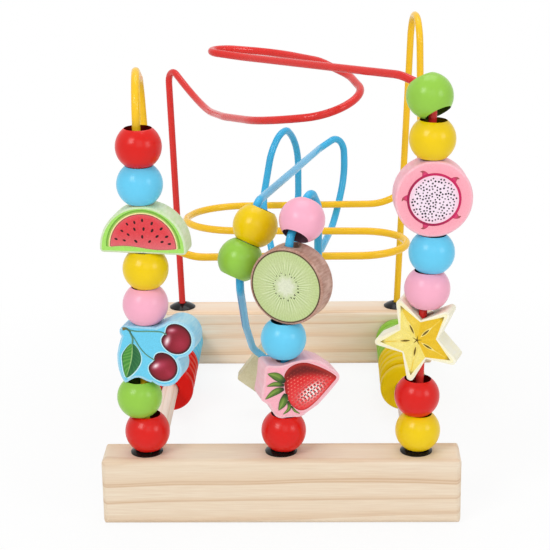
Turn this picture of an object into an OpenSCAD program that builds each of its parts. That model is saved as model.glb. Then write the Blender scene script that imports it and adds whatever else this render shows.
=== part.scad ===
// Wooden fruit bead maze: two pine beams joined by two disc rods, three painted wires in high loops,
// and round and fruit-shaped wooden beads threaded on the wires.
// X runs along the beams, Y from front to back, Z up; the origin lies on the floor between the beams.

/* [Beams] */
// length of each pine beam
beam_l = 195; // [185:1:215]
// width of each beam, front to back
beam_w = 25; // [22:1:30]
// height of each beam
beam_h = 38; // [34:1:44]
// clear distance between the two beams
beam_gap = 220; // [216:1:240]
// rounding of the beam edges
beam_edge = 3; // [1:0.5:5]
// distance of the outer wire feet from the middle of the beam
foot_x = 73.5; // [70:0.5:76]

/* [Wires] */
// thickness of the painted steel wire
wire_d = 4.4; // [3.6:0.1:4.8]
// depth of the wire ends below the top of the beam
wire_sunk = 11; // [9:0.5:13]
// forward lean of the left wire foot to the right, in degrees
lean_left = 0.4; // [0:0.1:1]
// lean of the middle wire foot
lean_mid = 2.8; // [2.4:0.1:3]
// lean of the right wire foot
lean_right = 2; // [1.6:0.1:2.4]

/* [Grommets] */
// outside diameter of the black grommets
grommet_d = 17.5; // [15:0.5:20]
// height of the grommet dome above the beam
grommet_h = 3.6; // [2.5:0.1:3.8]
// diameter of the grommet collar inside the beam
collar_d = 10; // [9:0.5:12]

/* [Beads] */
// diameter of the round beads
bead_d = 24.4; // [23.4:0.1:24.6]
// bore of the round beads
bead_bore = 14.4; // [13.8:0.1:15]
// thickness of the fruit slabs
slab_t = 14.5; // [12:0.5:15]
// bore of the fruit slabs
slab_bore = 9; // [8.6:0.1:9.6]
// small play between pieces that follow each other on a wire
play = 0.3; // [0.3:0.05:0.4]
// radius of the kiwi slab
kiwi_r = 21; // [19:0.5:21]
// radius of the dragon fruit slab
dragon_r = 20.3; // [19:0.1:21]
// radius of the melon slice
melon_r = 23.2; // [21:0.2:24]
// reach of the star points
star_r = 21.5; // [20:0.5:22]
// rounding of the edges of the kiwi and dragon fruit slabs
slab_edge = 1.2; // [0.8:0.1:3]

/* [Rods and discs] */
// diameter of the two rods
rod_d = 10; // [9:0.5:10]
// depth of the rod ends inside the beams
rod_sunk = 10; // [8:0.5:12]
// diameter of the sliding discs
disc_d = 29; // [26:0.5:30]
// thickness of the sliding discs
disc_t = 8.4; // [7.6:0.1:8.4]
// bore of the sliding discs
disc_bore = 11; // [10.8:0.1:12]

/* [Hidden] */
$fn = 48;
row = beam_gap / 2 + beam_w / 2;
bead_h = sqrt(bead_d * bead_d - bead_bore * bead_bore);
step = bead_h + play;
first = 2.5;
rod_z = beam_h / 2;
disc_edge = 2.5;

pine = [0.87, 0.74, 0.57];
red = [0.85, 0.1, 0.1];
blue = [0.25, 0.7, 0.92];
yellow = [0.96, 0.78, 0.08];
green = [0.5, 0.78, 0.2];
pink = [0.97, 0.68, 0.77];

function unit(v) = v / norm(v);
function turn(p, i) = acos(unit(p[i] - p[i - 1]) * unit(p[i + 1] - p[i]));
function cut(p, r, i) = (i == 0 || i == len(p) - 1) ? 0 : r[i] * tan(turn(p, i) / 2);
// a point on a leaning wire foot, at a height above the top of the beam
function foot(x, y, lean, up) = [x + up * tan(lean), y, beam_h + up];
function polar(r, a) = [r * cos(a), r * sin(a)];
// a route point given from the top of the beam
function at(x, y, up) = [x, y, beam_h + up];

// heights on the left wire foot, above the top of the beam
cherry_at = first + 2 * step + 16.6;
left_mid = cherry_at + 15.9 + play;
melon_at = left_mid + 2 * step + 2.4;
left_top = melon_at + melon_r + play;

// heights on the middle wire foot
berry_at = first + step + 17.4;
mid_mid = berry_at + 15.4 + play;
kiwi_at = mid_mid + step + kiwi_r;
mid_top = kiwi_at + kiwi_r;

// heights on the right wire foot
star_at = first + 2 * step + star_r + 2.2;
right_mid = star_at + 16.8 + play;
dragon_at = right_mid + 2 * step + dragon_r;
right_top = dragon_at + dragon_r + play;

yellow_route = [
    foot(foot_x, row, 2.4, -wire_sunk), foot(foot_x, row, 2.4, 202), at(85, row - 36.5, 201.5),
    at(87, 83, 83.5), at(-51.5, 90, 80.5), at(-75.5, 18, 85), at(65, 17, 84), at(85, -40, 86),
    at(-74, -38, 85), at(-79, -38, 190), foot(-foot_x, -row, lean_left, 212),
    foot(-foot_x, -row, lean_left, -wire_sunk)
];
yellow_bends = [0, 17, 17, 34, 33, 34, 25, 29, 30, 20, 20, 0];

red_route = [
    foot(-foot_x, row, -1.5, -wire_sunk), foot(-foot_x, row, -1.5, 169), at(-52, 82, 146.5),
    at(-35, 10, 157.5), at(-10, -55, 168.5), at(55, -79.5, 179.5), at(39, -17.5, 187), at(22, 4, 191.5),
    at(-4, 36, 191), at(-93, 64, 194), at(-24, 14, 192.5), at(64, -106, right_top + 39.8),
    foot(foot_x, -row, lean_right, right_top + 34.8), foot(foot_x, -row, lean_right, -wire_sunk)
];
red_bends = [0, 8, 95, 80, 57, 24, 30, 60, 60, 11, 60, 30, 14, 0];

blue_route = [
    foot(0, -row, lean_mid, -wire_sunk), foot(0, -row, lean_mid, mid_top + 3.4), at(17, -105, mid_top + 25.4),
    at(21, -92, mid_top + 12.4), at(20.5, -66, 72), at(15.5, -10, 67), at(31, 88, 69.5), at(38, 104, 98),
    at(37, 106, 125.5), at(21.5, 86, 119.5), at(-11.6, -94, mid_top + 15.8), at(-21.5, -102, mid_top - 15.6),
    at(-21.7, -104, mid_top - 29.6), at(-21.6, -50, 47), at(-19.7, -8, 17.5), at(-11, 16, 0), at(-9, 40, 0),
    at(-4, 45, 36), at(-15.5, 74, 86), at(-9.6, 82, 118), at(-4.2, 88, 129), at(0.4, 97, 129.5),
    at(3.3, 105, 124), at(7.2, 116, 112), foot(0, row, 5, 80), foot(0, row, 5, -wire_sunk)
];
blue_bends = [
    0, 12, 7, 20, 20, 14, 37, 45, 10, 12, 8, 20, 14, 60, 60, 14, 11, 30, 40, 34, 12, 8.5, 30, 40, 20, 0
];

// distances of the disc centres in front of the rear beam, from the rear to the front
function disc_at(i) = i < 5
    ? play + disc_t / 2 + i * (disc_t + 0.9)
    : disc_at(4) + (i - 4) * (disc_t + play) + (i == 9 ? 5 : 0);

// places its children along the line from a to b
module along(a, b) {
    d = b - a;
    translate(a) rotate([0, acos(d[2] / norm(d)), atan2(d[1], d[0])]) children();
}

// one bend of a wire, as a piece of a ring
module elbow(p, r, i, d) {
    back = unit(p[i - 1] - p[i]);
    ahead = unit(p[i + 1] - p[i]);
    start = p[i] + back * cut(p, r, i);
    c = p[i] + unit(back + ahead) * r[i] / cos(turn(p, i) / 2);
    u = unit(start - c);
    w = -back;
    n = cross(u, w);
    multmatrix([
        [u[0], w[0], n[0], c[0]],
        [u[1], w[1], n[1], c[1]],
        [u[2], w[2], n[2], c[2]],
        [0, 0, 0, 1]
    ])
        rotate_extrude(angle = turn(p, i)) translate([r[i], 0]) circle(d = d + 0.04);
}

// a wire with straight runs and round bends
module bent_wire(p, r, d) {
    for (i = [0 : len(p) - 2]) {
        dir = unit(p[i + 1] - p[i]);
        a = p[i] + dir * (cut(p, r, i) - (i == 0 ? 0 : 0.4));
        b = p[i + 1] - dir * (cut(p, r, i + 1) - (i == len(p) - 2 ? 0 : 0.4));
        along(a, b) cylinder(d = d, h = norm(b - a));
    }
    for (i = [1 : len(p) - 2]) elbow(p, r, i, d);
}

// a rectangle with round corners, centred
module soft_square(w, h, r) {
    square([w - 2 * r, h], center = true);
    square([w, h - 2 * r], center = true);
    for (x = [-1, 1]) {
        for (y = [-1, 1]) {
            translate([x * (w / 2 - r), y * (h / 2 - r)]) circle(r = r);
        }
    }
}

module soft_bar() {
    intersection() {
        rotate([90, 0, 90]) linear_extrude(beam_l + 2, center = true) soft_square(beam_w, beam_h, beam_edge);
        rotate([90, 0, 0]) linear_extrude(beam_w + 2, center = true) soft_square(beam_l, beam_h, beam_edge);
        linear_extrude(beam_h + 2, center = true) soft_square(beam_l, beam_w, beam_edge);
    }
}

// a beam with its three wire holes, collar seats and two rod holes; side is -1 in front, 1 behind
module beam(side, leans) {
    difference() {
        translate([0, side * row, beam_h / 2]) soft_bar();
        for (k = [0 : 2]) {
            x = (k - 1) * foot_x;
            along(foot(x, side * row, leans[k], -wire_sunk), foot(x, side * row, leans[k], 5))
                cylinder(d = wire_d + 0.2, h = wire_sunk + 5);
            translate([x, side * row, beam_h - 6]) cylinder(d = collar_d + 0.2, h = 7);
        }
        for (x = [-foot_x, foot_x]) {
            translate([x, side * (beam_gap / 2 + rod_sunk / 2), rod_z]) rotate([90, 0, 0])
                cylinder(d = rod_d + 0.1, h = rod_sunk, center = true);
        }
    }
}

module rod(x) {
    translate([x, 0, rod_z]) rotate([90, 0, 0])
        cylinder(d = rod_d, h = beam_gap + 2 * rod_sunk, center = true);
}

// one grommet: a low dome with a collar
module grommet() {
    rim = 0.6;
    up = grommet_h - rim;
    r = grommet_d / 2;
    ball = (r * r + up * up) / (2 * up);
    rotate_extrude() difference() {
        union() {
            intersection() {
                translate([0, grommet_h - ball]) circle(r = ball, $fn = 96);
                square([r, grommet_h + 1]);
            }
            translate([0, -6]) square([collar_d / 2, 6.5]);
        }
        translate([0, -7]) square([wire_d / 2 + 0.7, grommet_h + 10]);
    }
}

// places its children on a front wire foot, up along the foot and to the side of it
module on_foot(x, lean, up, aside = 0) {
    translate([x, -row, beam_h]) rotate([0, lean, 0]) translate([aside, 0, up]) children();
}

// places its children at a point with their own Z along a direction
module facing(p, d) {
    along(p, p + d) children();
}

module bead(c) {
    color(c) difference() {
        sphere(d = bead_d, $fn = 96);
        cylinder(d = bead_bore, h = bead_d + 2, center = true);
    }
}

// stands a flat outline upright, its face to the front, turned about the vertical
module upright(turned) {
    rotate([0, 0, turned]) rotate([90, 0, 0]) children();
}

// the upright bore of a slab
module slab_hole(x = 0) {
    translate([x, 0, -40]) cylinder(d = slab_bore, h = 80);
}

// a round slab with a soft edge
module round_slab(r, e) {
    rotate_extrude($fn = 96) {
        translate([0, -slab_t / 2]) square([r - e, slab_t]);
        translate([0, e - slab_t / 2]) square([r, slab_t - 2 * e]);
        for (y = [-1, 1]) {
            translate([r - e, y * (slab_t / 2 - e)]) circle(r = e);
        }
    }
}

module cherry_outline() {
    translate([20.5, 10]) circle(r = 10.4);
    translate([13, -6.8]) circle(r = 10.2);
    translate([-7.2, 12.3]) circle(r = 3.5);
    translate([-4.5, -3.5]) circle(r = 8);
    polygon([
        [-9.6, 9.8], [-10.6, 7], [-11.8, 3], [-12.5, -1], [-12.5, -5], [-12, -9], [-10.8, -13],
        [-9.3, -16], [-8.4, -16.6], [-7, -16], [-5, -14.5], [-3, -13.5], [-1, -13.1], [1, -13.5],
        [3, -14.5], [6, -15.4], [13, -6.8], [24, 1], [20, 19.5], [13.2, 17.6], [11, 16.6],
        [9.5, 15.9], [-7, 15.8]
    ]);
}

module strawberry_outline() {
    translate([-10.5, 11]) circle(r = 2.4);
    translate([-12, -5]) circle(r = 2.4);
    translate([-2, -11.4]) circle(r = 6);
    translate([6.5, -11.4]) circle(r = 6);
    translate([25, 4]) circle(r = 4);
    translate([11, 7]) circle(r = 8.4);
    polygon([
        [-12.9, 11], [-13.2, 4], [-14.4, -5], [-12.5, -7.6], [-10, -9.2], [-8.5, -12], [-6, -15.6],
        [-2, -17.2], [2, -17.2], [7, -17.2], [10.5, -15.8], [17.4, -11.1], [22.8, -5.2], [28.2, 1.5],
        [27.2, 7.4], [19.3, 13.1], [14, 15.2], [7, 15.2], [2, 14.4], [-2, 13], [-6, 12.8], [-10.5, 13.4]
    ]);
}

module melon_outline() {
    low = 2.4;
    intersection() {
        circle(r = melon_r, $fn = 96);
        translate([-30, 0]) square([60, 30]);
    }
    translate([-melon_r, -low + 2]) square([2 * melon_r, low - 1.9]);
    translate([2 - melon_r, -low]) square([2 * melon_r - 4, low + 0.1]);
    for (x = [-1, 1]) translate([x * (melon_r - 2), 2 - low]) circle(r = 2);
}

module star_outline() {
    tip = 2;
    notch = 11.2;
    half = asin(1.8 / (star_r + 1));
    polygon([
        for (k = [0 : 4])
            for (q = [[star_r + 1, -half], [star_r + 1, half], [notch, 36]])
                polar(q[0], 46.6 + 72 * k + q[1])
    ]);
    for (k = [0 : 4]) translate(polar(star_r, 46.6 + 72 * k)) circle(r = tip);
}

// a disc with soft edges, its bore along Y
module disc(c) {
    color(c) rotate([90, 0, 0]) rotate_extrude($fn = 96) difference() {
        union() {
            translate([0, -disc_t / 2]) square([disc_d / 2 - disc_edge, disc_t]);
            translate([0, disc_edge - disc_t / 2]) square([disc_d / 2, disc_t - 2 * disc_edge]);
            for (y = [-1, 1]) {
                translate([disc_d / 2 - disc_edge, y * (disc_t / 2 - disc_edge)]) circle(r = disc_edge);
            }
        }
        translate([0, -disc_t]) square([disc_bore / 2, 2 * disc_t]);
    }
}

module disc_on_rod(x, i, c) {
    translate([x, beam_gap / 2 - disc_at(i), rod_z]) disc(c);
}

module front_beam() {
    color(pine) beam(-1, [lean_left, lean_mid, lean_right]);
}
module rear_beam() {
    color(pine) beam(1, [-1.5, 5, 2.4]);
}
module left_rod() {
    color(pine) rod(-foot_x);
}
module right_rod() {
    color(pine) rod(foot_x);
}
module wire_red() {
    color(red) bent_wire(red_route, red_bends, wire_d);
}
module wire_blue() {
    color(blue) bent_wire(blue_route, blue_bends, wire_d);
}
module wire_yellow() {
    color(yellow) bent_wire(yellow_route, yellow_bends, wire_d);
}
module grommets() {
    color([0.08, 0.08, 0.09]) for (x = [-foot_x, 0, foot_x]) {
        for (y = [-row, row]) {
            translate([x, y, beam_h]) grommet();
        }
    }
}

module bead_l1_red() {
    on_foot(-foot_x, lean_left, first + bead_h / 2, 0.7) bead(red);
}
module bead_l2_green() {
    on_foot(-foot_x, lean_left, first + step + bead_h / 2, -3) bead(green);
}
module slab_cherry() {
    color(blue) on_foot(-foot_x, lean_left, cherry_at) difference() {
        upright(-12) linear_extrude(slab_t, center = true) cherry_outline();
        slab_hole();
    }
}
module bead_l3_pink() {
    on_foot(-foot_x, lean_left, left_mid + bead_h / 2, 1.8) bead(pink);
}
module bead_l4_yellow() {
    on_foot(-foot_x, lean_left, left_mid + step + bead_h / 2, 2.5) bead(yellow);
}
module slab_melon() {
    color(green) on_foot(-foot_x, lean_left, melon_at, 1.5) difference() {
        upright(-8) translate([1.6, 0, 0]) linear_extrude(slab_t, center = true) melon_outline();
        slab_hole();
    }
}
module bead_l5_blue() {
    on_foot(-foot_x, lean_left, left_top + bead_h / 2, 0.8) bead(blue);
}
module bead_l6_red() {
    on_foot(-foot_x, lean_left, left_top + step + bead_h / 2, 0.8) bead(red);
}

module bead_c1_red() {
    on_foot(0, lean_mid, first + bead_h / 2, 0.9) bead(red);
}
module slab_strawberry() {
    color(pink) on_foot(0, lean_mid, berry_at) difference() {
        upright(17) linear_extrude(slab_t, center = true) strawberry_outline();
        slab_hole();
    }
}
module bead_c2_blue() {
    on_foot(0, lean_mid, mid_mid + bead_h / 2, -1.1) bead(blue);
}
module slab_kiwi() {
    color(green) on_foot(0, lean_mid, kiwi_at, 2) difference() {
        upright(-23) round_slab(kiwi_r, slab_edge);
        slab_hole();
    }
}
module bead_c3_pink() {
    facing(at(12.6, -117.5, mid_top + 12), [11, 17.5, 22]) bead(pink);
}
module bead_c4_yellow() {
    facing(at(-13, -96.5, mid_top + 3.1), [8.2, 4.7, 17.5]) bead(yellow);
}
module bead_c5_green() {
    facing(at(-21.3, -101.2, mid_top - 14.5), [8.2, 4.7, 17.5]) bead(green);
}
module slab_square() {
    color([0.79, 0.78, 0.6]) translate([-10.2, 28, beam_h - 2.3]) difference() {
        upright(0) translate([0, -9.2, 0]) rotate(53) linear_extrude(9, center = true)
            soft_square(31, 31, 2);
        rotate([90, 0, 0]) cylinder(d = 10, h = 12, center = true);
    }
}

module bead_r1_yellow() {
    on_foot(foot_x, lean_right, first + bead_h / 2, 0.3) bead(yellow);
}
module bead_r2_red() {
    on_foot(foot_x, lean_right, first + step + bead_h / 2, -1) bead(red);
}
module slab_star() {
    color([0.97, 0.93, 0.72]) on_foot(foot_x, lean_right, star_at, 1.6) difference() {
        upright(-18) translate([-2.3, 0, 0]) linear_extrude(slab_t, center = true) star_outline();
        slab_hole();
    }
}
module bead_r3_pink() {
    on_foot(foot_x, lean_right, right_mid + bead_h / 2, 1.6) bead(pink);
}
module bead_r4_blue() {
    on_foot(foot_x, lean_right, right_mid + step + bead_h / 2, 3) bead(blue);
}
module slab_dragon() {
    color([0.98, 0.85, 0.9]) on_foot(foot_x, lean_right, dragon_at, 1.9) difference() {
        upright(3.5) round_slab(dragon_r, slab_edge);
        slab_hole();
    }
}
module bead_r5_yellow() {
    on_foot(foot_x, lean_right, right_top + bead_h / 2, 0.5) bead(yellow);
}
module bead_r6_green() {
    facing(at(78.5, 2 - row, right_top + 31.6), [-0.4, 0.4, 0.8]) bead(green);
}

module disc_l01() { disc_on_rod(-foot_x, 0, blue); }
module disc_l02() { disc_on_rod(-foot_x, 1, blue); }
module disc_l03() { disc_on_rod(-foot_x, 2, blue); }
module disc_l04() { disc_on_rod(-foot_x, 3, blue); }
module disc_l05() { disc_on_rod(-foot_x, 4, blue); }
module disc_l06() { disc_on_rod(-foot_x, 5, red); }
module disc_l07() { disc_on_rod(-foot_x, 6, red); }
module disc_l08() { disc_on_rod(-foot_x, 7, red); }
module disc_l09() { disc_on_rod(-foot_x, 8, red); }
module disc_l10() { disc_on_rod(-foot_x, 9, red); }
module disc_r01() { disc_on_rod(foot_x, 0, green); }
module disc_r02() { disc_on_rod(foot_x, 1, green); }
module disc_r03() { disc_on_rod(foot_x, 2, green); }
module disc_r04() { disc_on_rod(foot_x, 3, green); }
module disc_r05() { disc_on_rod(foot_x, 4, green); }
module disc_r06() { disc_on_rod(foot_x, 5, yellow); }
module disc_r07() { disc_on_rod(foot_x, 6, yellow); }
module disc_r08() { disc_on_rod(foot_x, 7, yellow); }
module disc_r09() { disc_on_rod(foot_x, 8, yellow); }
module disc_r10() { disc_on_rod(foot_x, 9, yellow); }

front_beam();
rear_beam();
left_rod();
right_rod();
wire_red();
wire_blue();
wire_yellow();
grommets();
bead_l1_red();
bead_l2_green();
slab_cherry();
bead_l3_pink();
bead_l4_yellow();
slab_melon();
bead_l5_blue();
bead_l6_red();
bead_c1_red();
slab_strawberry();
bead_c2_blue();
slab_kiwi();
bead_c3_pink();
bead_c4_yellow();
bead_c5_green();
slab_square();
bead_r1_yellow();
bead_r2_red();
slab_star();
bead_r3_pink();
bead_r4_blue();
slab_dragon();
bead_r5_yellow();
bead_r6_green();
disc_l01();
disc_l02();
disc_l03();
disc_l04();
disc_l05();
disc_l06();
disc_l07();
disc_l08();
disc_l09();
disc_l10();
disc_r01();
disc_r02();
disc_r03();
disc_r04();
disc_r05();
disc_r06();
disc_r07();
disc_r08();
disc_r09();
disc_r10();
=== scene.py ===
import bpy
import bmesh
import math
import numpy as np
from mathutils import Matrix, Vector
from mathutils.geometry import tessellate_polygon


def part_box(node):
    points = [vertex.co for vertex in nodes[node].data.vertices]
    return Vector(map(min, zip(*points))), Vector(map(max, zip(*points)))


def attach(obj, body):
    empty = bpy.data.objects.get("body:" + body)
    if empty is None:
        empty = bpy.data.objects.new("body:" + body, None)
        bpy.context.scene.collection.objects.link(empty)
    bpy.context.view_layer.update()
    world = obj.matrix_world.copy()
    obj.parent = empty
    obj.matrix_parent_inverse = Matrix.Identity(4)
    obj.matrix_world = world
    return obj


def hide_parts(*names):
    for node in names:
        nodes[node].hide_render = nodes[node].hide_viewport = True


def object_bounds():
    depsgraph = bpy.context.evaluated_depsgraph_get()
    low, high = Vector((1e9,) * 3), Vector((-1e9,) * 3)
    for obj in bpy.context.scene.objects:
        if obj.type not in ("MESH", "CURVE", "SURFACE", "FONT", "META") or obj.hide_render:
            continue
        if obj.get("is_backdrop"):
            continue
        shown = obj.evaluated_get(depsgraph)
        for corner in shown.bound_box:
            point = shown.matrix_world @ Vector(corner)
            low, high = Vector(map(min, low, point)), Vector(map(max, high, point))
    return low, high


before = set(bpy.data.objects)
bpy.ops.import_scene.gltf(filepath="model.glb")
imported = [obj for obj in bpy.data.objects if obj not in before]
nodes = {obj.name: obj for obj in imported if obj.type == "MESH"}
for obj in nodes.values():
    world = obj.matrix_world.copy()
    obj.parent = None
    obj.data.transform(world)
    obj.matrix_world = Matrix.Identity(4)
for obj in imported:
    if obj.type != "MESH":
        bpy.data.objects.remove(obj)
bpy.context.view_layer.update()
scene = bpy.context.scene
scene.view_settings.view_transform = "Standard"
mm = 0.001
print("frame loaded,", len(nodes), "nodes")


# small helpers

def toLinear(rgb):
    # sRGB shares to linear light
    rgb = np.clip(np.array(rgb, float), 0, 1)
    return np.where(rgb <= 0.04045, rgb / 12.92, ((rgb + 0.055) / 1.055) ** 2.4)


def ink(hexText):
    return np.array([int(hexText[i:i + 2], 16) / 255 for i in (1, 3, 5)])


def linear(hexText, share=1.0):
    # sRGB hex to linear RGBA, taken down to a share of its light
    return tuple(float(c) * share for c in toLinear(ink(hexText))) + (1.0,)


def feed(tree, node, inputs):
    # a socket, or a node's first output, is linked, and anything else is set
    for socket, value in inputs.items():
        if isinstance(value, bpy.types.Node):
            value = value.outputs[0]
        if isinstance(value, bpy.types.NodeSocket):
            tree.links.new(value, node.inputs[socket])
        else:
            node.inputs[socket].default_value = value


def addNode(tree, kind, inputs=None, **settings):
    node = tree.nodes.new(kind)
    for key, value in settings.items():
        setattr(node, key, value)
    feed(tree, node, inputs or {})
    return node


def clearTree(owner):
    owner.use_nodes = True
    owner.node_tree.nodes.clear()
    return owner.node_tree


def setStops(ramp, stops):
    band = ramp.color_ramp
    band.elements.remove(band.elements[-1])
    band.elements[0].position, band.elements[0].color = stops[0]
    for at, colour in stops[1:]:
        band.elements.new(at).color = colour
    return ramp.outputs["Color"]


def newMaterial(name, finish):
    # finish is roughness, coat, coat roughness and specular level
    mat = bpy.data.materials.new(name)
    tree = clearTree(mat)
    sockets = ("Roughness", "Coat Weight", "Coat Roughness", "Specular IOR Level")
    shader = addNode(tree, "ShaderNodeBsdfPrincipled", dict(zip(sockets, finish)))
    addNode(tree, "ShaderNodeOutputMaterial", {"Surface": shader.outputs["BSDF"]})
    where = addNode(tree, "ShaderNodeTexCoord").outputs["Object"]
    return mat, tree, shader, where


def every(sizeMm):
    # a pattern's scale: marks of a size in mm to the metre
    return 1 / (sizeMm * mm)


def setSurface(tree, shader, colour, height, bump):
    # colour and fine relief; bump is its strength and depth in mm
    relief = addNode(tree, "ShaderNodeBump", {
        "Height": height, "Strength": bump[0], "Distance": bump[1] * mm})
    feed(tree, shader, {"Base Color": colour, "Normal": relief})


def dress(nodeName, mat):
    data = nodes[nodeName].data
    data.materials.clear()
    data.materials.append(mat)


def addObject(name, data):
    made = bpy.data.objects.new(name, data)
    scene.collection.objects.link(made)
    return made


# camera and studio

cameraView = {"eye": (0.024, -0.956, 0.4054), "yaw": -0.0311, "pitch": 0.3093, "roll": -0.0155,
              "focalPx": 1658, "imagePx": 550, "sensorMm": 36}


def setCamera(view):
    yaw, pitch, roll = view["yaw"], view["pitch"], view["roll"]
    ahead = Vector((math.sin(yaw) * math.cos(pitch), math.cos(yaw) * math.cos(pitch), -math.sin(pitch)))
    level = Vector((math.cos(yaw), -math.sin(yaw), 0))
    steep = level.cross(ahead)
    right = level * math.cos(roll) + steep * math.sin(roll)
    up = steep * math.cos(roll) - level * math.sin(roll)
    camera = addObject("camera", bpy.data.cameras.new("camera"))
    camera.data.sensor_width = view["sensorMm"]
    camera.data.lens = view["focalPx"] / view["imagePx"] * view["sensorMm"]
    camera.data.clip_start = 0.05
    turned = Matrix((right, up, -ahead)).transposed()
    camera.matrix_world = Matrix.Translation(view["eye"]) @ turned.to_4x4()
    scene.camera = camera


studio = {
    "ambient": 0.46,
    "lamps": {                      # place, aim, size in metres, watts
        "key": ((-1.1, -1.5, 1.5), (0, -0.03, 0.1), 0.85, 17.6),
        "front": ((0.3, -1.7, 1.0), (0, 0.05, 0.08), 0.9, 3),
        "fill": ((1.5, -1.2, 0.8), (0, -0.03, 0.12), 0.7, 7),
        "top": ((0.1, 0.42, 1.85), (0, 0.08, 0.1), 1.2, 10.5),
    },
    "paper": "#F4F4F3", "floorHalf": 4, "floorDropMm": 0.4,
    "glow": (0.86, 1.0), "glowFrom": (0.12, 0.32),      # near and far share of white, and where in metres
}
white = (1, 1, 1, 1)


def seenRays(tree):
    # 1 for what the camera sees, straight or by way of gloss or glass
    path = addNode(tree, "ShaderNodeLightPath")
    seen = path.outputs["Is Camera Ray"]
    for kind in ("Is Glossy Ray", "Is Transmission Ray"):
        seen = addNode(tree, "ShaderNodeMath", {0: seen, 1: path.outputs[kind]}, operation="MAXIMUM")
    return seen


def setLight(look):
    for name, (place, aim, size, watts) in look["lamps"].items():
        lamp = addObject(name, bpy.data.lights.new(name, "AREA"))
        lamp.data.size = size
        lamp.data.energy = watts
        lamp.location = place
        lamp.rotation_euler = (Vector(aim) - Vector(place)).to_track_quat("-Z", "Y").to_euler()
    scene.world = bpy.data.worlds.new("studio")
    tree = clearTree(scene.world)
    dim = addNode(tree, "ShaderNodeBackground", {"Color": white, "Strength": look["ambient"]})
    bright = addNode(tree, "ShaderNodeBackground", {"Color": white, "Strength": 1.0})
    both = addNode(tree, "ShaderNodeMixShader", {0: seenRays(tree), 1: dim, 2: bright})
    addNode(tree, "ShaderNodeOutputWorld", {"Surface": both})


def setFloor(look):
    # pale floor: white to the camera away from the object, with the soft shadow kept close to it
    bm = bmesh.new()
    bmesh.ops.create_grid(bm, x_segments=1, y_segments=1, size=look["floorHalf"])
    data = bpy.data.meshes.new("floor")
    bm.to_mesh(data)
    bm.free()
    data.transform(Matrix.Translation((0, 0, -look["floorDropMm"] * mm)))
    floor = addObject("floor", data)
    mat = bpy.data.materials.new("palePaper")
    tree = clearTree(mat)
    spot = addNode(tree, "ShaderNodeTexCoord")
    away = addNode(tree, "ShaderNodeVectorMath", {0: spot.outputs["Object"]}, operation="LENGTH")
    ramp = addNode(tree, "ShaderNodeMapRange", {
        "Value": away.outputs["Value"], "From Min": look["glowFrom"][0], "From Max": look["glowFrom"][1],
        "To Min": look["glow"][0], "To Max": look["glow"][1]})
    glow = addNode(tree, "ShaderNodeMath", {0: ramp, 1: seenRays(tree)}, operation="MULTIPLY")
    paper = addNode(tree, "ShaderNodeBsdfDiffuse", {"Color": linear(look["paper"])})
    light = addNode(tree, "ShaderNodeEmission", {"Color": white, "Strength": 1.0})
    both = addNode(tree, "ShaderNodeMixShader", {0: glow, 1: paper, 2: light})
    addNode(tree, "ShaderNodeOutputMaterial", {"Surface": both})
    data.materials.append(mat)
    floor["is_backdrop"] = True


setCamera(cameraView)
setLight(studio)
setFloor(studio)
print("camera and studio set")


# wood of the beams and rods

pineLook = {
    "early": "#EFE0CA", "mid": "#E6D0B5", "late": "#CCA681", "finish": (0.52, 0.05, 0.35, 0.3),
    "run": 0, "ringMm": 26, "pith": (0.0, -0.168, 0.0), "swayMm": 9, "slant": 0.012,
    # place, strength, band and tail of each late wood line, in shares of a ring
    "lines": ((0.155, 0.8, 0.05, 0.24), (0.553, 0.45, 0.03, 0.14), (0.88, 0.8, 0.0, 0.08)),
    "lineEdges": (0.022, 0.024),
    # size in mm, stretch along the grain and detail; a wood fibre is finer than it is drawn here
    "wave": (25, 8, 2.0), "fibre": (0.5, 40, 3.0), "streak": (2.2, 60, 2.0),
    # from, to and strongest share of the fibres in late wood colour and of the wider streaks in mid colour
    "fibreTint": (0.3, 0.7, 0.34), "streakTint": (0.42, 0.75, 0.6), "bump": (0.12, 0.4),
}
# the rear beam comes from a warmer board, and is painted lighter to make up for the shade it stands in
rearLightenedLook = dict(pineLook, early="#FCECD8", mid="#F8DDBF", late="#DFB68C")
# the dowels: pale wood, painted a little lighter to make up for the shade the beads cast on them
dowelLightenedLook = dict(
    pineLook, early="#F6E6DA", mid="#F0DACA", late="#E0C2AA",
    run=1, ringMm=6.8, pith=(0.02, -0.03, 0.0), swayMm=4, slant=0.01,
    lines=((0.3, 0.8, 0.04, 0.2), (0.75, 1.0, 0.04, 0.2)),
    fibre=(0.4, 40, 3.0), streak=(1.4, 60, 2.0))


def ringStops(look, early, mid, late):
    # one year ring as a colour ramp: each late wood line is sharp on one side and fades on the other
    rise, fall = look["lineEdges"]
    stops = [(0.0, early)]
    for at, strength, band, tail in look["lines"]:
        line = tuple(a + (b - a) * strength for a, b in zip(early, late))
        stops += [(at - rise, early), (at, line)]
        if band:
            stops += [(at + band / 2, mid), (at + band, line)]
        stops += [(at + band + fall, mid), (at + tail, early)]
    return stops


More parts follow.
